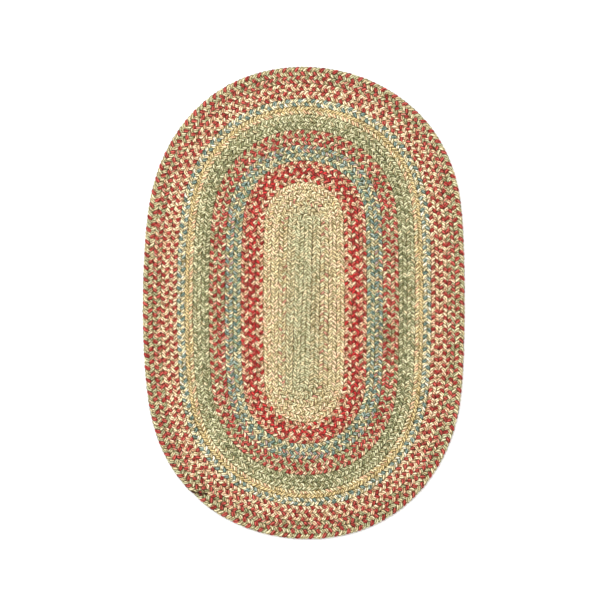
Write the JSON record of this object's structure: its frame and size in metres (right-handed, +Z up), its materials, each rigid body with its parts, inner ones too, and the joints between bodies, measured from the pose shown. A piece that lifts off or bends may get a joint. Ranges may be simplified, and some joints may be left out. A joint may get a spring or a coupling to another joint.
{
  "type": "braided rug",
  "caption": "Small flat oval rug of flat three-strand braid, in closed rounds laced edge to edge around a straight middle, in red, cream, sage, gold and teal bands.",
  "frame": {"origin": "on the surface that the rug lies on, under the middle of its outline", "axes": "+Y along the rug's length, +Z up out of its top face, X across its width"},
  "size_m": [0.508, 0.745, 0.008],
  "materials": {
    "yarn": "matt mixed yarn, tan, red, cream, sage and teal"
  },
  "bodies": {
    "root": {"braided_rug": "yarn"}
  },
  "joints": []
}
